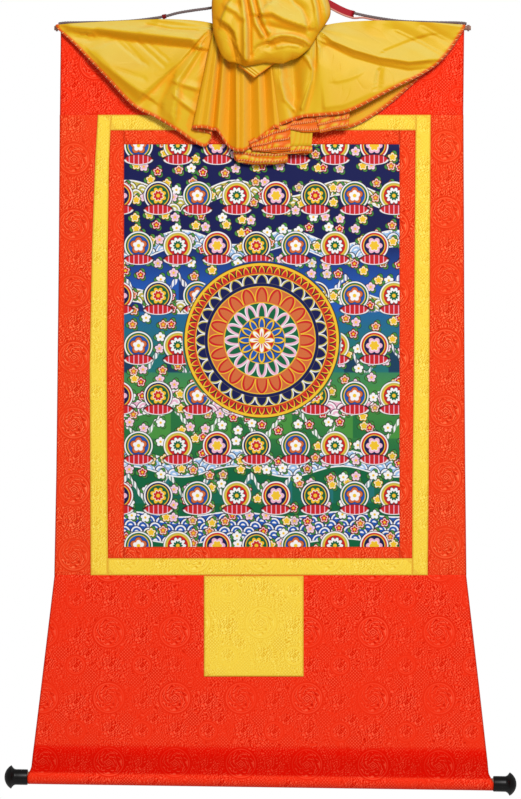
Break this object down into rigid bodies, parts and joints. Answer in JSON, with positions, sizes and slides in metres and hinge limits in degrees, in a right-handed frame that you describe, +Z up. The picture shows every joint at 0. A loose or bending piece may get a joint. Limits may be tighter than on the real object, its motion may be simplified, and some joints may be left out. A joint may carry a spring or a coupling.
{
  "type": "thangka scroll painting",
  "caption": "Painted cloth in a red and yellow brocade mount, with a gathered silk veil, a top rod, a roller with black turned knobs and a hanging cord.",
  "frame": {"origin": "the hanging point, the top of the cord where it goes over a nail", "axes": "+Z up, -Y out of the painted front, +X to the viewer's right"},
  "size_m": [0.575, 0.064, 0.9345],
  "materials": {
    "red_brocade": "satin brocade",
    "yellow_brocade": "satin brocade",
    "yellow_silk": "silk satin",
    "painted_cloth": "matt painted cloth",
    "rod_wood": "plain turned wood",
    "black_lacquer": "black lacquer, half gloss",
    "cord_grey": "twisted dark cord",
    "crimson": "matt thread and ribbon"
  },
  "bodies": {
    "root": {"top_panel": "red_brocade", "side_left": "red_brocade", "side_right": "red_brocade", "bottom_panel": "red_brocade", "band_left": "yellow_brocade", "band_right": "yellow_brocade", "band_top": "yellow_brocade", "band_bottom": "yellow_brocade", "inner_left": "red_brocade", "inner_right": "red_brocade", "inner_top": "red_brocade", "inner_bottom": "red_brocade", "painting": "painted_cloth", "door_patch": "yellow_brocade", "veil": "yellow_silk", "top_rod": "rod_wood", "roller": "rod_wood", "finial_left": "black_lacquer", "finial_right": "black_lacquer", "rod_tie_left": "cord_grey", "rod_tie_right": "cord_grey", "hanging_cord": "cord_grey", "ribbon": "crimson", "tie_left": "crimson", "tie_right": "crimson"}
  },
  "joints": []
}
